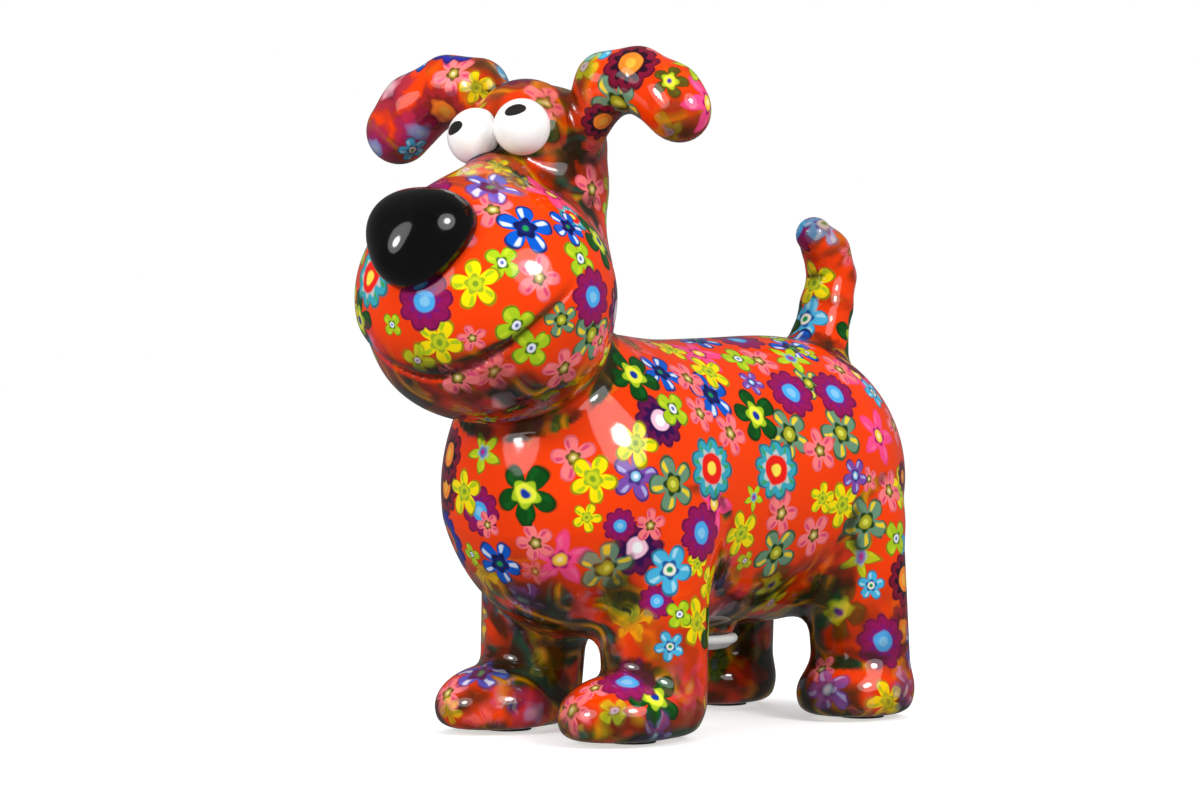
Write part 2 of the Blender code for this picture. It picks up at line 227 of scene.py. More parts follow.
def limb(points, knots, width):
    parts = [rod(points, start, end) for start, end in zip(knots[:-1], knots[1:])]
    return functools.reduce(lambda a, b: melt(a, b, width), parts)


def step(value, start, end):
    """Rises smoothly from 0 at start to 1 at end."""
    share = np.clip((value - start) / (end - start), 0.0, 1.0)
    return share * share * (3 - 2 * share)


def head_axes(points):
    return (points - HEAD_PIVOT) @ HEAD_TURN


def along_mouth(q):
    """Height above the mouth's line, and how much of the mouth is there."""
    around = np.arctan2(q[..., 0], MUZZLE[0][1] - q[..., 1])
    lean = np.sqrt(1 + (2 * MOUTH_RISE * around / MUZZLE[1][0]) ** 2)
    above = (q[..., 2] - MOUTH_LOW - MOUTH_RISE * around ** 2) / lean
    return above, 1 - step(np.abs(around), MOUTH_END - MOUTH_FADE, MOUTH_END + MOUTH_FADE)


def mouth(q):
    """How far the skin sinks: a groove along the mouth, and the jaw set back below it."""
    above, reach = along_mouth(q)
    groove = MOUTH_DEPTH * np.exp(-(above / MOUTH_WIDTH) ** 2)
    jaw = JAW_SET * step(-above, -0.6, 1.4) * (1 - step(-above, 2.0, JAW_DROP))
    return reach * (groove + jaw)


def torso_form(points):
    form = melt(ball(points, *CHEST), ball(points, *BELLY), 20)
    form = melt(form, ball(points, *RUMP), 20)
    boss = np.maximum(from_plug(points) - SEAT_RADIUS,
                      np.abs(points[..., 2] - SEAT_HEIGHT - SEAT_BOSS / 2) - SEAT_BOSS / 2)
    return melt(form, boss, 3)


def leg_form(points, leg):
    x, y, ankle, thigh, paw_y, paw_length = leg
    hip = (x * THIGH_LEAN[0], y * THIGH_LEAN[1], THIGH_HEIGHT)
    shank = rod(points, ((x, y, ANKLE_HEIGHT), ankle), (hip, thigh))
    paw = ball(points, (x, paw_y, PAW_MIDDLE), (PAW_WIDTH, paw_length, PAW_HEIGHT))
    return melt(shank, paw, 5)


def head_form(q, lips):
    form = melt(ball(q, *MUZZLE), ball(q, *JAW), 2)
    form = melt(form, ball(q, *CHEEKS), 8) + lips * mouth(q)
    form = melt(form, limb(q, BRIDGE, 6), 6)
    form = melt(form, limb(q, BACK_OF_HEAD, 10), 10)
    return melt(form, limb(q, CROWN, 4), 4)


def forms(points, lips=1):
    """The whole skin, and the skin without its solid ears and tail.  Without lips the mouth is left out."""
    q = head_axes(points)
    core = torso_form(points)
    for leg in LEGS.values():
        core = melt(core, leg_form(points, leg), 9)
    neck_top = np.array(NECK_TOP[0]) @ HEAD_TURN.T + HEAD_PIVOT
    core = melt(core, rod(points, NECK_FOOT, (neck_top, NECK_TOP[1])), 12)
    core = melt(core, head_form(q, lips), 5)
    skin = core
    for knots in EARS.values():
        skin = melt(skin, limb(q, knots, 6), 4)
    return melt(skin, limb(points, TAIL, 4), 6), core


def slot_form(points):
    x = np.maximum(np.abs(points[..., 0] - SLOT_X) - SLOT_WIDTH / 2 + SLOT_LIP, 0)
    z = np.maximum(np.abs(points[..., 2] - SLOT_HEIGHT) - SLOT_LENGTH / 2 + SLOT_LIP, 0)
    middle = SLOT_START + SLOT_DEPTH / 2
    return np.maximum(np.hypot(x, z) - SLOT_LIP, np.abs(points[..., 1] - middle) - SLOT_DEPTH / 2)


def from_plug(points):
    """How far points lie from the plug's axis."""
    return np.hypot(*(points[..., k] - PLUG_PLACE[k] for k in (0, 1)))


def plug_well(points, radius, top):
    """A round hole from below the belly up to a height."""
    out = from_plug(points) - radius
    return np.maximum(out, np.abs(points[..., 2] - top / 2 - 7) - top / 2 + 7)


def seated(skin, points):
    """A skin with flat soles and the plug's seat."""
    skin = cut(skin, points[..., 2] - SOLE_HEIGHT, SOLE_ROUNDING)
    return cut(skin, plug_well(points, SEAT_RELIEF, SEAT_HEIGHT), SEAT_ROUNDING)


def skin_form(points, lips=1):
    """The outside of the bank, without its hollow, slot and plug hole."""
    return seated(forms(points, lips)[0], points)


def clay_form(points):
    """The fired clay: the skin, hollowed, with the slot and the plug's hole."""
    skin, core = forms(points)
    hollow = np.maximum(core + WALL, SOLE_HEIGHT + WALL - points[..., 2])
    clay = cut(seated(skin, points), hollow, SEAT_ROUNDING)
    clay = cut(clay, slot_form(points), SLOT_ROUNDING)
    return cut(clay, plug_well(points, BORE_RADIUS, SEAT_HEIGHT + BORE_REACH), BORE_ROUNDING)


# ---- from a distance to a mesh ----

def sample(form, points, batch=200_000):
    return np.concatenate([form(points[k:k + batch]) for k in range(0, len(points), batch)])


def slope_of(form, points, reach=0.04):
    """Value and gradient of a form, from four points round each one."""
    corners = np.array(((1, -1, -1), (-1, -1, 1), (-1, 1, -1), (1, 1, 1)), float)
    values = [sample(form, points + corner * reach) for corner in corners]
    slope = sum(corner * value[:, None] for corner, value in zip(corners, values)) / (4 * reach)
    return sum(values) / 4, slope


def settle(form, points, rounds=3):
    """Moves points on to the surface of a form."""
    for _ in range(rounds):
        value, slope = slope_of(form, points)
        length = np.maximum(np.einsum("ij,ij->i", slope, slope), 0.2)
        points = points - slope * np.clip(value / length, -1.0, 1.0)[:, None]
    return points


def surface_of(form, low, high, spacing):
    """A closed quad mesh of a form's surface: a vertex in each grid cell that the surface crosses."""
    axes = [np.arange(low[k], high[k] + spacing, spacing) for k in range(3)]
    size = tuple(len(axis) for axis in axes)
    grid = np.stack(np.meshgrid(*axes, indexing="ij"), -1).reshape(-1, 3)
    values = sample(form, grid).reshape(size)
    inside = values < 0

    ends = (slice(None, -1), slice(1, None))
    count = sum(inside[a, b, c].astype(int) for a in ends for b in ends for c in ends)
    crossed = (count > 0) & (count < 8)
    number = np.full(crossed.shape, -1)
    number[crossed] = np.arange(crossed.sum())
    cells = np.argwhere(crossed)
    total, hits = np.zeros((len(cells), 3)), np.zeros(len(cells))
    for axis in range(3):
        across = [k for k in range(3) if k != axis]
        for corner in ((0, 0), (0, 1), (1, 0), (1, 1)):
            start = cells.copy()
            start[:, across] += corner
            end = start.copy()
            end[:, axis] += 1
            first, last = values[tuple(start.T)], values[tuple(end.T)]
            hit = (first < 0) != (last < 0)
            place = start.astype(float)
            place[:, axis] += np.where(hit, first / np.where(hit, first - last, 1.0), 0.0)
            total += np.where(hit[:, None], place, 0.0)
            hits += hit
    vertices = np.array(low) + spacing * total / hits[:, None]

    faces = []
    for axis in range(3):
        u, v = np.eye(3, dtype=int)[(axis + 1) % 3], np.eye(3, dtype=int)[(axis + 2) % 3]
        here = [slice(1, -1)] * 3
        here[axis] = slice(None, -1)
        there = list(here)
        there[axis] = slice(1, None)
        a, b = inside[tuple(here)], inside[tuple(there)]
        for outwards, where in ((True, a & ~b), (False, ~a & b)):
            edge = np.argwhere(where) + 1
            edge[:, axis] -= 1
            ring = [number[tuple((edge - shift).T)] for shift in (u + v, v, 0 * u, u)]
            quads = np.stack(ring, 1)
            faces.append(quads if outwards else quads[:, ::-1])
    return vertices, np.concatenate(faces)


def to_frame(points):
    return (np.asarray(points, float) + STAND) * MM


# ---- luting lines ----

def luting_planes():
    """For each small casting, a point and a unit normal of its luting plane, in table coordinates."""
    planes = {"head_shell": NECK_CUT, "tail": TAIL_CUT}
    for side, sign in (("left", 1), ("right", -1)):
        point = np.array((EAR_CUT[0][0] * sign, *EAR_CUT[0][1:]))
        normal = np.array((EAR_CUT[1][0] * sign, *EAR_CUT[1][1:]))
        planes["ear_" + side] = (point @ HEAD_TURN.T + HEAD_PIVOT, normal @ HEAD_TURN.T)
    for place, leg in LEGS.items():
        sign = math.copysign(1, leg[0])
        planes["leg_" + place] = ((LEG_CUT_INNER * sign, 0, LEG_CUT_LOW), (LEG_CUT_SLOPE * sign, 0, -1))
    return {name: (np.array(point, float), np.array(normal, float) / np.linalg.norm(normal))
            for name, (point, normal) in planes.items()}


def casting_of(points):
    """The index in CASTINGS of the casting that each point belongs to."""
    planes = luting_planes()
    beyond = {name: (points - point) @ normal > 0 for name, (point, normal) in planes.items()}
    label = np.zeros(len(points), int)
    label[beyond["head_shell"]] = CASTINGS.index("head_shell")
    for name in ("ear_left", "ear_right"):
        label[beyond[name] & beyond["head_shell"]] = CASTINGS.index(name)
    label[beyond["tail"] & (points[:, 1] > 0)] = CASTINGS.index("tail")
    for place, leg in LEGS.items():
        beside = points[:, 0] * math.copysign(1, leg[0]) > LEG_CUT_INNER
        near = points[:, 1] * math.copysign(1, leg[1]) > LEG_CUT_NEAR
        label[beyond["leg_" + place] & beside & near] = CASTINGS.index("leg_" + place)
    return label


def straighten_lutings(form, vertices, faces, label):
    """Slides the vertices between two castings on to the luting plane that divides them."""
    planes = luting_planes()
    low = np.full(len(vertices), len(CASTINGS))
    high = np.zeros(len(vertices), int)
    for corner in faces.T:
        np.minimum.at(low, corner, label)
        np.maximum.at(high, corner, label)
    for index, name in enumerate(CASTINGS[1:], start=1):
        seam = np.flatnonzero((low < high) & (high == index))
        point, normal = planes[name]
        for _ in range(4):
            place = vertices[seam]
            value, slope = slope_of(form, place)
            slope /= np.linalg.norm(slope, axis=1, keepdims=True)
            level = normal - slope * (slope @ normal)[:, None]
            level /= np.maximum(np.einsum("ij,ij->i", level, level), 0.3)[:, None]
            place = place - level * ((place - point) @ normal)[:, None]
            vertices[seam] = settle(form, place, rounds=1)
        vertices[seam] -= normal * ((vertices[seam] - point) @ normal)[:, None]
    return vertices


class Skin(NamedTuple):
    """The whole bank as one mesh, before it is divided."""
    vertices: np.ndarray
    normals: np.ndarray
    faces: np.ndarray
    label: np.ndarray
    glazed: np.ndarray
    paint: dict


@functools.lru_cache(maxsize=1)
def whole_skin():
    sizes = bpy.context.scene.money_box_form
    low, high = (np.array(corner) / MM - STAND for corner in CAD_BOX)
    room = 4.0
    vertices, faces = surface_of(clay_form, low - room, high + room, sizes.fineness / MM)
    vertices = settle(clay_form, vertices)
    label = casting_of(vertices[faces].mean(1))
    vertices = straighten_lutings(clay_form, vertices, faces, label)
    _, slope = slope_of(clay_form, vertices)
    normals = slope / np.maximum(np.linalg.norm(slope, axis=1, keepdims=True), 1e-6)

    middles = vertices[faces].mean(1)
    facing = normals[faces].mean(1)
    depth = sample(skin_form, middles)
    foot = (middles[:, 2] < SOLE_HEIGHT + 0.25) & (facing[:, 2] < -0.9)
    glazed = (depth > -WALL * 0.45) & ~foot
    return Skin(vertices, normals, faces, label, glazed, decal(vertices, normals, faces, glazed))


# ---- flower transfers ----

class Flower(NamedTuple):
    """One kind of flower.  Sizes after radius are shares of the flower's radius."""
    radius: float       # mm
    petals: int
    depth: float        # how deep the gaps between the petals are
    point: float        # 1 is a pointed petal, 3 a broad round one
    ring: float
    heart: float
    dot: float
    petal: str
    streak: str
    edge: str
    ring_colour: str
    heart_colour: str
    dot_colour: str


FLOWERS = (
    Flower(7.4, 5, .66, 2.4, .36, .27, .12, "#FFE400", "#9CC41A", "#7C7A10", "#9DB41E", "#C9D21C", "#7FA01E"),
    Flower(7.8, 5, .72, 1.2, .30, .23, .12, "#B4D21A", "#D6DE20", "#56701A", "#A6C8B4", "#5A7FC8", "#B4288C"),
    Flower(8.8, 5, .66, 2.8, .38, .24, .11, "#0458C8", "#E6F2FF", "#081A4C", "#0C1450", "#141E64", "#1E9650"),
    Flower(9.4, 5, .66, 1.3, .30, .21, .09, "#FF4A8C", "#FF6898", "#F04280", "#B0146C", "#FFD23C", "#FFF0B4"),
    Flower(6.9, 5, .62, 2.4, .31, .20, .10, "#FF7E80", "#D8386E", "#E0606E", "#6E501E", "#B4A03C", "#F0DCA0"),
  Flower(8.8, 10, .17, 2, .62, .42, .20, "#7E1030", "#6E0E2C", "#4C0820", "#2C0820", "#FF8C28", "#FFB43C"),
  Flower(9.8, 10, .17, 2, .62, .38, .20, "#64104C", "#5A0E46", "#400A34", "#32084A", "#FFC8E0", "#FFFFFF"),
    Flower(8.8, 9, .20, 2.0, .50, .36, .18, "#96105A", "#860E50", "#640A3C", "#7E1478", "#4AAAEC", "#82C8F0"),
    Flower(9.4, 5, .60, 2.4, .42, .32, .15, "#064A10", "#0A5C18", "#04300A", "#A6C81E", "#ECF03C", "#1038A0"),
    Flower(9.6, 9, .22, 2.0, .56, .48, .20, "#38A6BC", "#3CA03C", "#1E5A64", "#B8C8C8", "#F01E10", "#FFE650"),
  Flower(9.8, 10, .18, 2, .58, .44, .20, "#2424A0", "#1C1C86", "#101050", "#2D5078", "#F0641E", "#A01E14"),
    Flower(6.2, 4, .60, 2.6, .32, .22, .10, "#AACC1A", "#C8DC28", "#5A7814", "#4E7814", "#F0F0FF", "#6478B4"),
    Flower(7.8, 5, .60, 2.2, .32, .20, .10, "#7C4CA8", "#B4B4E6", "#3C2864", "#463482", "#8CC8E6", "#F0F0FF"),
    Flower(8.8, 5, .62, 2.6, .36, .26, .12, "#6A9274", "#FFDC00", "#2C4A2C", "#1E3C14", "#A8A824", "#DCDC50"),
    Flower(7.8, 5, .52, 2.2, .34, .24, .12, "#48B4E0", "#AEE2F2", "#1E6482", "#1E5AA0", "#F0F0DC", "#1E9650"),
)
COMMON = (4, 3, 4, 3, 4, 4, 2, 3, 4, 2, 2, 3, 1, 3, 2)     # how often each kind is laid
LAYERS = ("transfer_top", "transfer_under")
REACHES = (1.15, 1.0, 0.85, 0.7)    # shares of a flower's radius, laid in this order
TRIES = 2200                        # places tried for each reach
APART = 1.05                        # how far a lower flower keeps from those above, in radii
NOWHERE = (9.0, 9.0, 0.5)           # corner value outside every flower


def scatter(points, crowding, random, others):
    """Lays flowers largest first: (point, radius, kind), none closer than crowding to its neighbours."""
    laid_places, laid_sizes, laid_kinds, laid_at = [], [], [], []
    share = np.array(COMMON) / sum(COMMON)
    for reach in REACHES:
        for pick in random.choice(len(points), TRIES):
            kind = random.choice(len(FLOWERS), p=share)
            size = FLOWERS[kind].radius * reach * bpy.context.scene.money_box_decal.flower_size
            point = points[pick]
            if laid_places:
                gap = np.linalg.norm(np.array(laid_places) - point, axis=1)
                if (gap < (np.array(laid_sizes) + size) * crowding).any():
                    continue
            if any((np.linalg.norm(at - point, axis=1) < sizes * APART).any() for at, sizes in others):
                continue
            laid_places.append(point)
            laid_sizes.append(size)
            laid_kinds.append(kind)
            laid_at.append(pick)
    return np.array(laid_places), np.array(laid_sizes), np.array(laid_kinds), np.array(laid_at)


BEND_REACH = 3.0                    # mm between the points that show how the skin bends
CREASED, TIGHT = (-0.012, 0.008), (0.085, 0.15)         # bends, in 1/mm
SHANKS, PAWS, INNER_LEGS, UPPER_HEAD = (24.0, 58.0), (18.0, 26.0), (48, 66), (188, 200)     # heights, mm
BROW, BROW_SIDES = (176, 190), (20, 27)                 # heights and half widths in the head's axes, mm


def smoothness(vertices, normals):
    """1 where a flat transfer lies well and gets no painted shade; 0 in creases, on tight curves, on undersides
    and inside the legs, where it is put on in dabs and its dark dab colours are partly painted shade.
    """
    form = functools.partial(skin_form, lips=0)
    bend = -6 * sample(form, vertices)
    for axis in range(3):
        shift = np.zeros(3)
        shift[axis] = BEND_REACH
        bend += sample(form, vertices + shift) + sample(form, vertices - shift)
    bend /= BEND_REACH ** 2
    # creases and tight curves take dabs; in creases their darkness is painted shade
    gentle = step(bend, *CREASED) * (1 - 0.4 * step(bend, *TIGHT))
    q = head_axes(vertices)
    # the lower legs take more dabs, darker towards the paws
    shanks = 0.5 + 0.5 * step(vertices[:, 2], *SHANKS)
    paws = 0.5 * (1 - step(vertices[:, 2], *PAWS)) * step(normals[:, 2], 0.1, 0.6)
    skull = 1 - 0.45 * step(q[:, 2], *BROW) * (1 - step(np.abs(q[:, 0]), *BROW_SIDES))
    # faces turned down take dabs, less on the upper head: painted shade, and a painted reflection of a dark
    # surface below
    under = 1 - (0.85 - 0.4 * step(vertices[:, 2], *UPPER_HEAD)) * step(-normals[:, 2], 0.30, 0.75)
    # the insides of the legs take dabs: painted shade between the legs
    inwards = step(-normals[:, 0] * np.sign(vertices[:, 0]), -0.1, 0.5) * (1 - step(vertices[:, 2], *INNER_LEGS))
    return np.clip(gentle * (shanks + paws) * skull * under * (1 - 0.85 * inwards), 0, 1)


def crease(vertices):
    """1 along the line of the mouth, where shade is painted into the groove."""
    q = head_axes(vertices)
    above, reach = along_mouth(q)
    front = step(MUZZLE[0][1] - q[:, 1], 0.0, 8.0)
    return front * reach * np.exp(-((above - 0.3) / 1.1) ** 2)


def decal(vertices, normals, faces, glazed):
    """Corner values of each transfer layer; for each vertex, how well a transfer lies there and how little
    painted shade it gets, and the painted shade along the mouth.
    """
    settings = bpy.context.scene.money_box_decal
    random = np.random.default_rng(settings.seed)
    outside = np.unique(faces[glazed])
    smooth_lit = smoothness(vertices, normals)
    middles, facing = vertices[faces].mean(1), normals[faces].mean(1)
    paint, others = {}, []
    for layer, crowding in zip(LAYERS, (settings.crowding, settings.crowding * 1.25)):
        places, sizes, kinds, at = scatter(vertices[outside], crowding, random, others)
        others.append((places, sizes))
        up = normals[outside][at]
        turns = random.uniform(0, 2 * math.pi, len(places))
        helper = np.where(np.abs(up[:, 2:]) < 0.9, (0.0, 0.0, 1.0), (1.0, 0.0, 0.0))
        side = np.cross(helper, up)
        side /= np.linalg.norm(side, axis=1, keepdims=True)
        ahead = np.cross(up, side)
        u = side * np.cos(turns)[:, None] + ahead * np.sin(turns)[:, None]
        v = ahead * np.cos(turns)[:, None] - side * np.sin(turns)[:, None]
        blur = np.clip(1 - smooth_lit[outside][at] + random.uniform(-0.35, 0.15, len(places)), 0.04, 0.9)

        corner = np.empty((*faces.shape, 3))
        corner[:] = NOWHERE
        chosen = np.flatnonzero(glazed)
        for start in range(0, len(chosen), 4000):
            part = chosen[start:start + 4000]
            away = np.linalg.norm(middles[part][:, None] - places, axis=2) / sizes
            away += 3.0 * (facing[part] @ up.T < 0.1)
            best = away.argmin(1)
            offset = vertices[faces[part]] - places[best][:, None]
            flat = np.stack([np.einsum("fcj,fj->fc", offset, way[best]) for way in (u, v)], 2)
            far = np.linalg.norm(offset, axis=2)
            flat *= (far / np.maximum(np.linalg.norm(flat, axis=2), 1e-6) / sizes[best][:, None])[..., None]
            value = np.concatenate([flat, np.repeat((kinds + blur)[best][:, None, None], 4, 1)], 2)
            value[away.min(1) > 2.0] = NOWHERE
            corner[part] = value
        paint[layer] = corner
    paint["smoothness"], paint["crease"] = smooth_lit, crease(vertices)
    return paint


# ---- pieces ----

def add_object(name, mesh):
    item = bpy.data.objects.new(name, mesh)
    bpy.context.scene.collection.objects.link(item)
    return item


def finish_piece(item, body, slot, *nodes):
    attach(item, body)
    if nodes:
        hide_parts(*nodes)
    return item


def rim_faces(vertices, faces, name):
    """Flat faces that close a casting along each of its luting planes."""
    bm = bmesh.new()
    made = [bm.verts.new(place) for place in vertices]
    for face in faces:
        bm.faces.new([made[k] for k in face])
    bm.verts.index_update()
    rims = []
    for other, (point, normal) in luting_planes().items():
        edges = [edge for edge in bm.edges if edge.is_boundary
                 and all(abs(np.dot(np.array(v.co) - point, normal)) < IN_PLANE for v in edge.verts)]
        if not edges or name not in ("torso_shell", "head_shell", other):
            continue
        filled = bmesh.ops.triangle_fill(bm, use_beauty=True, edges=edges, normal=normal)
        rims += [[v.index for v in part.verts] for part in filled["geom"]
                 if isinstance(part, bmesh.types.BMFace)]
    bm.free()
    return wind(faces, rims)


def wind(faces, rims):
    """Turns the rim faces the same way round as the faces beside them."""
    runs = {(int(a), int(b)) for face in faces for a, b in zip(face, np.roll(face, -1))}
    wound, waiting = [], rims
    while waiting:
        later = []
        for rim in waiting:
            ahead = set(zip(rim, rim[1:] + rim[:1]))
            back = {(b, a) for a, b in ahead}
            if runs & ahead:
                rim, ahead = rim[::-1], back
            elif not runs & back:
                later.append(rim)
                continue
            runs |= ahead
            wound.append(rim)
        if len(later) == len(waiting):
            break
        waiting = later
    return wound


def doubled(faces, rims):
    """Which quads have a rim face lying on one of their halves."""
    covers = {frozenset(rim) for rim in rims}
    return [k for k, (a, b, c, d) in enumerate(faces.tolist())
            if {frozenset((a, b, c)), frozenset((a, c, d))} & covers]


def add_casting(node, name):
    """One casting of the skin, closed along its luting lines, with its paint."""
    skin = whole_skin()
    chosen = np.flatnonzero(skin.label == CASTINGS.index(node))
    for point, normal in luting_planes().values():      # the rim covers what lies in the plane
        level = np.abs((skin.vertices - point) @ normal) < IN_PLANE
        chosen = chosen[~level[skin.faces[chosen]].all(1)]
    used, local = np.unique(skin.faces[chosen], return_inverse=True)
    local = local.reshape(-1, 4)
    vertices = skin.vertices[used]
    rims = rim_faces(vertices, local, node)
    turned = doubled(local, rims)
    local[turned] = np.roll(local[turned], 1, axis=1)
    mesh = bpy.data.meshes.new(name)
    mesh.from_pydata(to_frame(vertices).tolist(), [], local.tolist() + rims)

    spare = sum(len(rim) for rim in rims)
    for layer in LAYERS:
        values = skin.paint[layer][chosen]
        values[turned] = np.roll(values[turned], 1, axis=1)
        values = np.concatenate([values.reshape(-1, 3), np.tile(NOWHERE, (spare, 1))])
        mesh.attributes.new(layer, "FLOAT_VECTOR", "CORNER").data.foreach_set("vector", values.ravel())
    for mask in ("smoothness", "crease"):
        mesh.attributes.new(mask, "FLOAT", "POINT").data.foreach_set("value", skin.paint[mask][used])

    bare = np.concatenate([~skin.glazed[chosen], np.ones(len(rims), bool)]).astype(int)
    mesh.polygons.foreach_set("material_index", bare)
    mesh.materials.append(floral_glaze())
    mesh.materials.append(bare_clay())
    mesh.shade_smooth()
    flat = np.array([mesh.polygons[len(chosen) + k].normal for k in range(len(rims))]).reshape(-1, 3)
    corner_normals = np.concatenate([
        skin.normals[used][local].reshape(-1, 3),
        np.repeat(flat, [len(rim) for rim in rims], axis=0).reshape(-1, 3)])
    mesh.normals_split_custom_set(corner_normals.tolist())
    item = add_object(name, mesh)
    return finish_piece(item, "bank", "glaze_floral", node)


def add_form(name, form, low, high, spacing, finish):
    """A small closed piece from a distance in table coordinates."""
    vertices, faces = surface_of(form, low, high, spacing)
    vertices = settle(form, vertices)
    _, slope = slope_of(form, vertices)
    normals = slope / np.maximum(np.linalg.norm(slope, axis=1, keepdims=True), 1e-6)
    mesh = bpy.data.meshes.new(name)
    mesh.from_pydata(to_frame(vertices).tolist(), [], faces.tolist())
    mesh.materials.append(finish)
    mesh.shade_smooth()
    mesh.normals_split_custom_set(normals[faces].reshape(-1, 3).tolist())
    return add_object(name, mesh), vertices


def nose_form(points):
    """A plump rounded triangle, point down, luted to the front of the muzzle."""
    q = head_axes(points)
    (x, y, z), radii = NOSE_SIDE
    sides = melt(ball(q, (x, y, z), radii), ball(q, (-x, y, z), radii), 12)
    return cut(melt(sides, ball(q, *NOSE_TIP), 14), skin_form(points) - 0.1, 0.8)


def eye_form(points, side):
    q = head_axes(points)
    eye = ball(q, EYE_CENTRES[side], (EYE_RADIUS[side],) * 3)
    eye = cut(eye, skin_form(points) - 0.1, 0.5)
    middle = (EYE_CENTRES["left"][0] + EYE_CENTRES["right"][0]) / 2
    sign = 1 if side == "left" else -1
    return cut(eye, sign * (q[..., 0] - middle) - 0.05, 0.3)


# ---- finishes ----

def colour(text):
    """Scene-linear RGBA of a '#RRGGBB' colour."""
    channels = [int(text[k:k + 2], 16) / 255 for k in (1, 3, 5)]
    return (*(c / 12.92 if c <= 0.04045 else ((c + 0.055) / 1.055) ** 2.4 for c in channels), 1.0)


class Socket:
    """A node's output that takes part in Python sums."""

    def __init__(self, sheet, end):
        self.sheet, self.end = sheet, end

    def _math(self, operation, *values, **settings):
        return self.sheet.add("ShaderNodeMath", {"operation": operation, **settings}, *values)

    def __add__(self, other):
        return self._math("ADD", self, other)

    __radd__ = __add__

    def __sub__(self, other):
        return self._math("SUBTRACT", self, other)

    def __rsub__(self, other):
        return self._math("SUBTRACT", other, self)

    def __mul__(self, other):
        return self._math("MULTIPLY", self, other)

    __rmul__ = __mul__

    def __truediv__(self, other):
        return self._math("DIVIDE", self, other)

    def __pow__(self, other):
        return self._math("POWER", self, other)

    def __abs__(self):
        return self._math("ABSOLUTE", self)

    def floor(self):
        return self._math("FLOOR", self)

    def round(self):
        return self._math("ROUND", self)

    def clamp(self):
        return self._math("ADD", self, 0.0, use_clamp=True)

    def below(self, level, blur):
        """1 well below a level and 0 above it, with a soft change between."""
        return ((level - self) / blur + 0.5).clamp()


class Sheet:
    """The node tree of one material, or of the world."""

    def __init__(self, name, store="materials", shader="Principled BSDF"):
        self.owner = getattr(bpy.data, store).new(name)
        self.owner.use_nodes = True
        self.tree = self.owner.node_tree
        self.shader = self.tree.nodes[shader]

    def add(self, kind, settings=None, *values, out=0, **named):
        """A node of a kind: its settings first, then its inputs in order or by name."""
        node = self.tree.nodes.new(kind)
        for key, value in (settings or {}).items():
            if key == "stops":
                ramp = node.color_ramp
                while len(ramp.elements) < len(value):
                    ramp.elements.new(1.0)
                for element, (place, tint) in zip(ramp.elements, value):
                    element.position, element.color = place, tint
            elif key == "interpolation":
                node.color_ramp.interpolation = value
            else:
                setattr(node, key, value)
        for key, value in [*enumerate(values), *named.items()]:
            self.put(node.inputs[key.replace("_", " ") if isinstance(key, str) else key], value)
        return Socket(self, node.outputs[out])

    def put(self, end, value):
        if isinstance(value, Socket):
            self.tree.links.new(value.end, end)
        else:
            end.default_value = value

    def mix(self, share, first, second):
        """One colour over another."""
        node = self.tree.nodes.new("ShaderNodeMix")
        node.data_type = "RGBA"
        self.put(node.inputs["Factor"], share)
        for end, value in zip([s for s in node.inputs if s.type == "RGBA"], (first, second)):
            self.put(end, value)
        return Socket(self, next(s for s in node.outputs if s.type == "RGBA"))

    def ramp(self, place, stops, interpolation="LINEAR"):
        settings = {"stops": stops, "interpolation": interpolation}
        return self.add("ShaderNodeValToRGB", settings, place)

    def noise(self, size, detail=2.0, out="Fac"):
        """Noise over the object with features of a size in millimetres."""
        place = self.add("ShaderNodeTexCoord", out="Object")
        return self.add("ShaderNodeTexNoise", out=out, Vector=place, Scale=1 / (size * MM), Detail=detail)

    def parts(self, vector):
        node = self.tree.nodes.new("ShaderNodeSeparateXYZ")
        self.put(node.inputs[0], vector)
        return [Socket(self, end) for end in node.outputs]

    def bump(self, height, strength, depth):
        """A normal from a height, with depth in millimetres."""
        return self.add("ShaderNodeBump", out="Normal", Strength=strength, Distance=depth * MM, Height=height)

    def finish(self, **sockets):
        for name, value in sockets.items():
            self.put(self.shader.inputs[name.replace("_", " ")], value)
        return self.owner


def kinds_table(values):
    """Ramp stops with one flat step for each kind of flower."""
    return [(k / len(FLOWERS), value) for k, value in enumerate(values)]


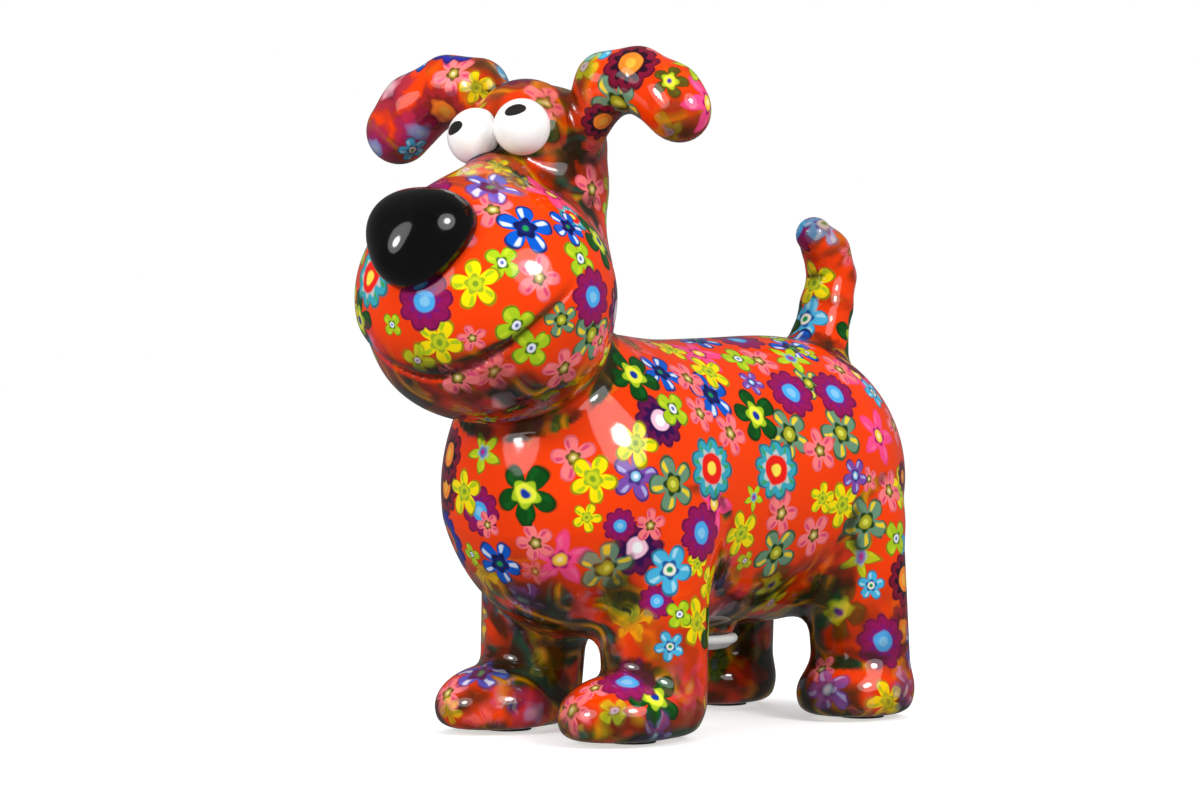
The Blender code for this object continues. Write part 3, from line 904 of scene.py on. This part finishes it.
def lay_transfer(sheet, layer, ground):
    """One layer of flower transfers over a ground colour."""
    x, y, code = sheet.parts(sheet.add("ShaderNodeAttribute", {"attribute_name": layer}, out="Vector"))
    kind = code.floor()
    blur = code - kind
    pick = (kind + 0.5) / len(FLOWERS)

    def look_up(values):
        return sheet.ramp(pick, kinds_table(values), "CONSTANT")

    def hue(name):
        return look_up([colour(getattr(flower, name)) for flower in FLOWERS])

    petals, depth, point = sheet.parts(look_up([(f.petals / 16, f.depth, f.point / 4, 1) for f in FLOWERS]))
    ring, heart, dot = sheet.parts(look_up([(f.ring, f.heart, f.dot, 1) for f in FLOWERS]))
    wave = sheet.noise(7.0, detail=1.0, out="Color")
    wave_x, wave_y, _ = sheet.parts(wave)
    x = x + (wave_x - 0.5) * (0.12 + blur * 1.3)
    y = y + (wave_y - 0.5) * (0.12 + blur * 1.3)
    out = (x * x + y * y) ** 0.5
    turn = sheet.add("ShaderNodeMath", {"operation": "ARCTAN2"}, y, x) * petals * (16 / (2 * math.pi))
    side = turn - turn.round()
    edge = 1 - depth * (abs(side) * 2) ** (point * 4)
    soft = 0.05 + blur * 0.45
    shape = out.below(edge, soft)

    petal = hue("petal")
    streak = abs(side - 0.17).below(0.10, 0.06) * (1 - out.below(0.45, 0.1)) * out.below(edge * 0.86, 0.1)
    petal = sheet.mix(streak * 0.85, petal, hue("streak"))
    line = (1 - out.below(edge * 0.90, 0.06)) * 0.9
    petal = sheet.mix(line, petal, hue("edge"))
    star = 1 + 0.16 * sheet.add("ShaderNodeMath", {"operation": "COSINE"}, turn * (2 * math.pi))
    petal = sheet.mix(out.below(ring * star, 0.05 + blur * 0.2), petal, hue("ring_colour"))
    petal = sheet.mix(out.below(heart, 0.05 + blur * 0.2), petal, hue("heart_colour"))
    petal = sheet.mix(out.below(dot, 0.05 + blur * 0.2), petal, hue("dot_colour"))
    return sheet.mix(shape * (1.15 - blur * 1.15).clamp(), ground, petal)


@functools.lru_cache(maxsize=1)
def floral_glaze():
    """Flower transfers on an orange-red ground under a clear gloss glaze, with painted shade in the dab zones
    and along the mouth.
    """
    settings = bpy.context.scene.money_box_decal
    sheet = Sheet("floral_glaze")
    smooth_lit = sheet.add("ShaderNodeAttribute", {"attribute_name": "smoothness"}, out="Fac")
    # dab zones: real paint put on in dabs, and painted shade in creases, undersides and inside the legs
    dabbed_and_shaded = 1 - smooth_lit
    mottle = sheet.noise(26.0, detail=3.0)
    ground = sheet.mix(mottle, tuple(settings.ground), tuple(settings.ground_deep))
    # dark red-brown patches in the dab zones: painted shade on the orange ground
    brown_shade_noise = sheet.noise(21.0, detail=2.0)
    ground = sheet.mix((1 - brown_shade_noise.below(0.47, 0.2)) * dabbed_and_shaded * 0.8, ground, colour("#7E1E04"))

    # blotches of mostly dark dab colours in the dab zones: real dabs of paint, partly painted shade
    spot = sheet.noise(15.0, detail=1.0)
    tints = [(0.0, colour("#1A200E")), (0.36, colour("#2A2A0C")), (0.42, colour("#123A26")),
             (0.47, colour("#52500A")), (0.51, colour("#E08C00")), (0.55, colour("#8A780A")),
             (0.59, colour("#4A180A")), (0.64, colour("#244A3A")), (0.70, colour("#3A1C0E")),
             (1.0, colour("#1E2418"))]
    spot_colour = sheet.ramp(sheet.noise(17.0, detail=0.5), tints)
    ground = sheet.mix(((1 - spot.below(0.48, 0.10)) * dabbed_and_shaded * 1.2).clamp(), ground, spot_colour)
    for layer in reversed(LAYERS):
        ground = lay_transfer(sheet, layer, ground)
    # near-black olive patches where the dabs are strongest: painted shade in folds and under the body
    dark_shade_noise = sheet.noise(11.0, detail=1.0)
    dark_shade_mask = (1 - dark_shade_noise.below(0.53, 0.16)) * ((dabbed_and_shaded - 0.2) * 1.2).clamp()
    ground = sheet.mix(dark_shade_mask.clamp() * 0.85, ground, colour("#281E0A"))
    # a dark line along the mouth: painted shade in its groove
    painted_mouth_shade = sheet.add("ShaderNodeAttribute", {"attribute_name": "crease"}, out="Fac")
    ground = sheet.mix(painted_mouth_shade * 0.8, ground, colour("#2A0C04"))

    wave = sheet.bump(sheet.noise(15.0, detail=1.0) + 0.22 * sheet.noise(5.0, detail=1.0), 0.5, 0.5)
    rough = 0.05 + sheet.noise(9.0) * 0.05
    return sheet.finish(Base_Color=ground, Roughness=rough, Normal=wave, IOR=1.5)


@functools.lru_cache(maxsize=1)
def bare_clay():
    """Unglazed earthenware inside the bank and under its feet."""
    sheet = Sheet("bare_clay")
    tone = sheet.ramp(sheet.noise(12.0, detail=6.0),
                      [(0.3, colour("#CFC2AE")), (0.55, colour("#DDD2C0")), (0.75, colour("#C4B294"))])
    grain = sheet.noise(0.8, detail=4.0)
    return sheet.finish(Base_Color=tone, Roughness=0.78 + grain * 0.15, Normal=sheet.bump(grain, 0.4, 0.15))


@functools.lru_cache(maxsize=1)
def black_glaze():
    sheet = Sheet("black_glaze")
    tone = sheet.ramp(sheet.noise(10.0, detail=3.0), [(0.3, colour("#020202")), (0.7, colour("#070707"))])
    wave = sheet.bump(sheet.noise(9.0, detail=1.5), 0.3, 0.4)
    return sheet.finish(Base_Color=tone, Roughness=0.07 + sheet.noise(4.0) * 0.05, Normal=wave, IOR=1.5)


@functools.lru_cache(maxsize=1)
def white_glaze():
    """White glaze with a pupil painted where the gaze attribute says."""
    sheet = Sheet("white_glaze")
    x, y, _ = sheet.parts(sheet.add("ShaderNodeAttribute", {"attribute_name": "gaze"}, out="Vector"))
    waver = sheet.noise(2.5, detail=1.0) * 0.10
    out = (x * x + y * y) ** 0.5 + waver
    tone = sheet.ramp(sheet.noise(8.0, detail=2.0), [(0.3, colour("#FFFFFF")), (0.7, colour("#FBFBF8"))])
    pupil = sheet.mix(sheet.noise(1.5), colour("#1C1E1C"), colour("#2C2624"))
    tone = sheet.mix(out.below(1.0, 0.10), tone, pupil)
    wave = sheet.bump(sheet.noise(9.0, detail=1.5), 0.25, 0.4)
    return sheet.finish(Base_Color=tone, Roughness=0.08 + sheet.noise(5.0) * 0.04, Normal=wave, IOR=1.5)


@functools.lru_cache(maxsize=1)
def white_rubber():
    sheet = Sheet("white_rubber")
    tone = sheet.ramp(sheet.noise(7.0, detail=4.0), [(0.35, colour("#E9E9E6")), (0.7, colour("#D6D6D2"))])
    grain = sheet.noise(0.5, detail=3.0)
    return sheet.finish(Base_Color=tone, Roughness=0.42 + grain * 0.14, Normal=sheet.bump(grain, 0.2, 0.06))


@functools.lru_cache(maxsize=1)
def foam_rubber():
    sheet = Sheet("foam_rubber")
    cells = sheet.add("ShaderNodeTexVoronoi", Vector=sheet.add("ShaderNodeTexCoord", out="Object"),
                      Scale=1 / (0.5 * MM))
    tone = sheet.ramp(cells, [(0.1, colour("#17171A")), (0.6, colour("#2C2C30"))])
    return sheet.finish(Base_Color=tone, Roughness=0.82 + cells * 0.1, Normal=sheet.bump(cells, 0.5, 0.15))


@functools.lru_cache(maxsize=1)
def studio_paper():
    settings = bpy.context.scene.money_box_stage
    sheet = Sheet("studio_paper")
    tone = sheet.mix(sheet.noise(60.0, detail=3.0), tuple(settings.floor), (0.88, 0.88, 0.88, 1.0))
    return sheet.finish(Base_Color=tone, Roughness=0.6 + sheet.noise(30.0) * 0.1,
                        Emission_Color=(1.0, 1.0, 1.0, 1.0), Emission_Strength=settings.glow)


# ---- settings ----

def length(name, about, default, **limits):
    return FloatProperty(name=name, description=about, default=default, unit="LENGTH", **limits)


def tint(name, about, default):
    return FloatVectorProperty(name=name, description=about, default=default, size=4,
                               min=0, max=1, subtype="COLOR")


class MoneyBoxForm(bpy.types.PropertyGroup):
    fineness: length("Fineness", "Spacing of the skin's mesh", 1.5 * MM, min=0.8 * MM, max=4 * MM)
    small_fineness: length("Small piece fineness", "Spacing on the nose and eyes", 0.6 * MM,
                           min=0.3 * MM, max=2 * MM)


class MoneyBoxDecal(bpy.types.PropertyGroup):
    seed: IntProperty(name="Seed", description="Changes where the flowers fall", default=7)
    flower_size: FloatProperty(name="Flower size", description="Scales every flower", default=1.0,
                               min=0.5, max=2.0)
    crowding: FloatProperty(name="Crowding", description="Spacing of neighbours as a share of their radii",
                            default=0.91, min=0.7, max=2.0)
    ground: tint("Ground", "Main colour between the flowers", colour("#FF4600"))
    ground_deep: tint("Deep ground", "Darker passages of the ground", colour("#F23800"))


class MoneyBoxStage(bpy.types.PropertyGroup):
    floor: tint("Floor", "Colour of the studio floor", (0.93, 0.93, 0.93, 1.0))
    glow: FloatProperty(name="Floor glow", description="Light that comes through the floor", default=0.45,
                        min=0.0, max=1.0)
    azimuth: FloatProperty(name="Azimuth", description="Direction the camera stands in",
                           default=math.radians(43.5), subtype="ANGLE")
    distance: length("Distance", "Level distance from the camera to the bank", 1.3)
    height: length("Height", "Height of the lens", 0.138)
    aim_height: length("Aim height", "Height that the camera points at", 0.113)
    aim_right: length("Aim offset", "How far the aim lies to the right", -0.033)
    lens: FloatProperty(name="Lens", description="Focal length in millimetres", default=111.15)


# ---- operators ----

class Step:
    """What every step shares."""
    bl_options = {"REGISTER", "UNDO"}

    def execute(self, context):
        self.make(context)
        return {"FINISHED"}


class Cast(Step):
    """A step that casts nodes of the skin, each with the name of its new piece."""
    castings = {}

    def make(self, context):
        for node, name in self.castings.items():
            add_casting(node, name)


class CastTorso(Cast, bpy.types.Operator):
    """Cast the hollow torso with the plug's hole under the belly"""
    bl_idname = "money_box.cast_torso"
    bl_label = "Cast torso"
    castings = {"torso_shell": "torso_casting"}


class CastHead(Cast, bpy.types.Operator):
    """Cast the hollow head with the coin slot in its back"""
    bl_idname = "money_box.cast_head"
    bl_label = "Cast head"
    castings = {"head_shell": "head_casting"}


class CastEars(Cast, bpy.types.Operator):
    """Cast the two drooping ears"""
    bl_idname = "money_box.cast_ears"
    bl_label = "Cast ears"
    castings = {"ear_" + side: f"ear_{side}_casting" for side in EARS}


class CastTail(Cast, bpy.types.Operator):
    """Cast the curled tail"""
    bl_idname = "money_box.cast_tail"
    bl_label = "Cast tail"
    castings = {"tail": "tail_casting"}


class CastLegs(Cast, bpy.types.Operator):
    """Cast the four legs with their paws"""
    bl_idname = "money_box.cast_legs"
    bl_label = "Cast legs"
    castings = {"leg_" + place: f"leg_{place}_casting" for place in LEGS}


class ModelNose(Step, bpy.types.Operator):
    """Model the gloss black nose"""
    bl_idname = "money_box.model_nose"
    bl_label = "Model nose"

    def make(self, context):
        low, high = (np.array(corner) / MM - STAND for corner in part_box("nose"))
        spacing = context.scene.money_box_form.small_fineness / MM
        item, _ = add_form("nose_glazed", nose_form,
                           low - NOSE_ROOM, high + NOSE_ROOM, spacing, black_glaze())
        finish_piece(item, "bank", "glaze_black", "nose")


class ModelEyes(Step, bpy.types.Operator):
    """Model the two white eyes and paint their pupils"""
    bl_idname = "money_box.model_eyes"
    bl_label = "Model eyes"

    def make(self, context):
        spacing = context.scene.money_box_form.small_fineness / MM
        for side in EYE_CENTRES:
            low, high = (np.array(corner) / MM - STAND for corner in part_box("eye_" + side))
            item, vertices = add_form(f"eye_{side}_glazed", functools.partial(eye_form, side=side),
                                      low - EYE_ROOM, high + EYE_ROOM, spacing, white_glaze())
            self.paint_pupil(item.data, head_axes(vertices), side)
            finish_piece(item, "bank", "glaze_white", "eye_" + side)

    @staticmethod
    def paint_pupil(mesh, q, side):
        """Writes each vertex's place across the pupil, 1 at the pupil's edge."""
        gaze = np.array(EYE_GAZE[side]) / np.linalg.norm(EYE_GAZE[side])
        level = np.cross(gaze, (0, 0, 1.0))
        level /= np.linalg.norm(level)
        across = level * math.cos(PUPIL_TILT) + np.cross(level, gaze) * math.sin(PUPIL_TILT)
        up = np.cross(across, gaze)
        offset = q - np.array(EYE_CENTRES[side])
        behind = 9.0 * (offset @ gaze < 0)
        values = np.stack([offset @ across / PUPIL[0] + behind, offset @ up / PUPIL[1] + behind,
                           np.zeros(len(q))], 1)
        mesh.attributes.new("gaze", "FLOAT_VECTOR", "POINT").data.foreach_set("vector", values.ravel())


# shares of a pad's radius and thickness
PAD_PROFILE = ((0, 0), (0.90, 0), (0.97, 0.06), (1, 0.2), (0.985, 0.45), (1, 0.7), (0.97, 0.95),
               (0.92, 1), (0, 1))


class FitPads(Step, bpy.types.Operator):
    """Stick a soft pad under each paw"""
    bl_idname = "money_box.fit_pads"
    bl_label = "Fit pads"

    def make(self, context):
        for place in LEGS:
            node = "foot_pad_" + place
            low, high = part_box(node)
            centre, radius, rise = (low + high) / 2, (high.x - low.x) / 2, high.z - low.z
            profile = [(r * radius, z * rise) for r, z in PAD_PROFILE]
            mesh = turned_mesh(node + "_foam", profile, 48)
            item = add_object(node + "_foam", mesh)
            item.location = (centre.x, centre.y, low.z)
            mesh.materials.append(foam_rubber())
            finish_piece(item, "bank", "pad_rubber", node)


def turned_mesh(name, profile, segments):
    """A round piece from (radius, height) points that start and end on its axis, bottom first."""
    bm = bmesh.new()
    rings = []
    for radius, height in profile:
        count = segments if radius > 0 else 1
        rings.append([bm.verts.new((radius * math.cos(2 * math.pi * k / segments),
                                    radius * math.sin(2 * math.pi * k / segments), height))
                      for k in range(count)])
    for low, high in zip(rings[:-1], rings[1:]):
        for k in range(segments):
            corners = (low[k % len(low)], low[(k + 1) % len(low)],
                       high[(k + 1) % len(high)], high[k % len(high)])
            bm.faces.new(list(dict.fromkeys(corners)))
    bmesh.ops.recalc_face_normals(bm, faces=bm.faces)
    mesh = bpy.data.meshes.new(name)
    bm.to_mesh(mesh)
    bm.free()
    mesh.shade_smooth()
    mesh.set_sharp_from_angle(angle=math.radians(50))
    return mesh


class FitStopper(Step, bpy.types.Operator):
    """Push the soft rubber plug into the hole under the belly"""
    bl_idname = "money_box.fit_stopper"
    bl_label = "Fit stopper"

    def make(self, context):
        low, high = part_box("stopper")
        centre = (low + high) / 2
        flange = (high.x - low.x) / 2 / MM
        neck = BORE_RADIUS - PLUG_GAP
        base, tip = (end.z / MM - SEAT_HEIGHT for end in (low, high))
        dome = [(flange * 0.62 * math.sin(a), base + 1.0 - math.cos(a)) for a in np.linspace(0, 1.2, 9)]
        groove = [(10.8, base + 0.75), (11.2, base + 1.15), (11.7, base + 0.95), (12.4, base + 1.1)]
        edge = [(flange - 1.6 + 1.6 * math.sin(a), -1.9 - 1.6 * math.cos(a))
                for a in np.linspace(0.4, 2.6, 12)]
        shank = [(14.0, -0.35), (neck, -0.3), (neck, 1.0), (neck - 0.5, 1.6), (neck - 0.5, 5.2),
                 (neck - 0.2, 5.8), (neck, 6.2), (neck, 6.9), (neck - 0.4, 7.6), (neck - 1.6, tip)]
        inside = [(neck - 3.0, tip), (neck - 3.3, tip - 0.4), (neck - 3.3, -0.4), (neck - 3.8, -1.2),
                  (neck - 4.6, -1.6), (0, -1.6)]
        profile = [(r * MM, z * MM) for r, z in dome + groove + edge + shank + inside]
        mesh = turned_mesh("stopper_moulding", profile, 96)
        item = add_object("stopper_moulding", mesh)
        item.location = (centre.x, centre.y, SEAT_HEIGHT * MM)
        mesh.materials.append(white_rubber())
        finish_piece(item, "stopper", "rubber_white", "stopper")


class SetStage(Step, bpy.types.Operator):
    """Set the pale floor, the soft studio lights and the camera"""
    bl_idname = "money_box.set_stage"
    bl_label = "Set stage"

    def make(self, context):
        self.lay_floor()
        self.light(context)
        self.aim_camera(context)

    @staticmethod
    def lay_floor():
        bm = bmesh.new()
        bmesh.ops.create_grid(bm, x_segments=24, y_segments=24, size=6.0)
        mesh = bpy.data.meshes.new("floor")
        bm.to_mesh(mesh)
        bm.free()
        mesh.materials.append(studio_paper())
        floor = add_object("floor", mesh)
        floor.visible_glossy = floor.visible_diffuse = False

    @staticmethod
    def light(context):
        """White paper all round, a round softbox with a bright middle on each side, and a soft sky."""
        paper = Sheet("studio", "worlds", "Background")
        seen = paper.add("ShaderNodeLightPath", out="Is Camera Ray")
        mirrored = paper.add("ShaderNodeLightPath", out="Is Glossy Ray")
        strength = seen + (1 - seen) * (PAPER_LIGHT + mirrored * (PAPER_GLOSS - PAPER_LIGHT))
        context.scene.world = paper.finish(Color=(1.0, 1.0, 1.0, 1.0), Strength=strength)
        context.scene.view_settings.view_transform = "Standard"
        target = Vector((0, 0, 0.12))
        for name, azimuth, elevation, distance, width, radiance in SOFTBOXES:
            a, e = math.radians(azimuth), math.radians(elevation)
            away = Vector((math.sin(a) * math.cos(e), -math.cos(a) * math.cos(e), math.sin(e)))
            lamp = bpy.data.lights.new(name, "AREA")
            lamp.shape = "DISK"
            lamp.size = width
            lamp.energy = radiance * math.pi * math.pi * (width / 2) ** 2
            item = bpy.data.objects.new(name, lamp)
            item.location = target + away * distance
            item.rotation_euler = away.to_track_quat("Z", "Y").to_euler()
            context.scene.collection.objects.link(item)
        sky = bpy.data.lights.new("sky_panel", "SUN")
        sky.energy, sky.angle = SKY_POWER, SKY_ANGLE
        item = bpy.data.objects.new("sky_panel", sky)
        item.visible_glossy = False
        context.scene.collection.objects.link(item)

    @staticmethod
    def aim_camera(context):
        stage = context.scene.money_box_stage
        a = stage.azimuth
        right = Vector((math.cos(a), math.sin(a), 0))
        towards = Vector((math.sin(a), -math.cos(a), 0))
        aim = Vector((*STAND[:2] * MM, 0)) + right * stage.aim_right
        place = aim + towards * stage.distance
        aim.z, place.z = stage.aim_height, stage.height
        lens = bpy.data.cameras.new("camera")
        lens.lens, lens.sensor_width = stage.lens, 36.0
        item = bpy.data.objects.new("camera", lens)
        item.location = place
        item.rotation_euler = (place - aim).to_track_quat("Z", "Y").to_euler()
        context.scene.collection.objects.link(item)
        context.scene.camera = item


STEPS = (CastTorso, CastHead, CastEars, CastTail, CastLegs, ModelNose, ModelEyes, FitPads, FitStopper,
         SetStage)


class MoneyBoxPanel(bpy.types.Panel):
    """The steps that make the money box, in order"""
    bl_idname = "VIEW3D_PT_money_box"
    bl_label = "Money Box"
    bl_space_type = "VIEW_3D"
    bl_region_type = "UI"
    bl_category = "Money Box"

    def draw(self, context):
        for group in (context.scene.money_box_form, context.scene.money_box_decal,
                      context.scene.money_box_stage):
            for name in group.__annotations__:
                self.layout.prop(group, name)
        for operator in STEPS:
            self.layout.operator(operator.bl_idname)


GROUPS = {"money_box_form": MoneyBoxForm, "money_box_decal": MoneyBoxDecal, "money_box_stage": MoneyBoxStage}


def register():
    for item in (*GROUPS.values(), *STEPS, MoneyBoxPanel):
        bpy.utils.register_class(item)
    for name, group in GROUPS.items():
        setattr(bpy.types.Scene, name, PointerProperty(type=group))


def unregister():
    for name in GROUPS:
        delattr(bpy.types.Scene, name)
    for item in (MoneyBoxPanel, *STEPS, *GROUPS.values()):
        bpy.utils.unregister_class(item)


def main():
    register()
    for operator in STEPS:
        area, name = operator.bl_idname.split(".")
        getattr(getattr(bpy.ops, area), name)()


if __name__ == "__main__":
    main()
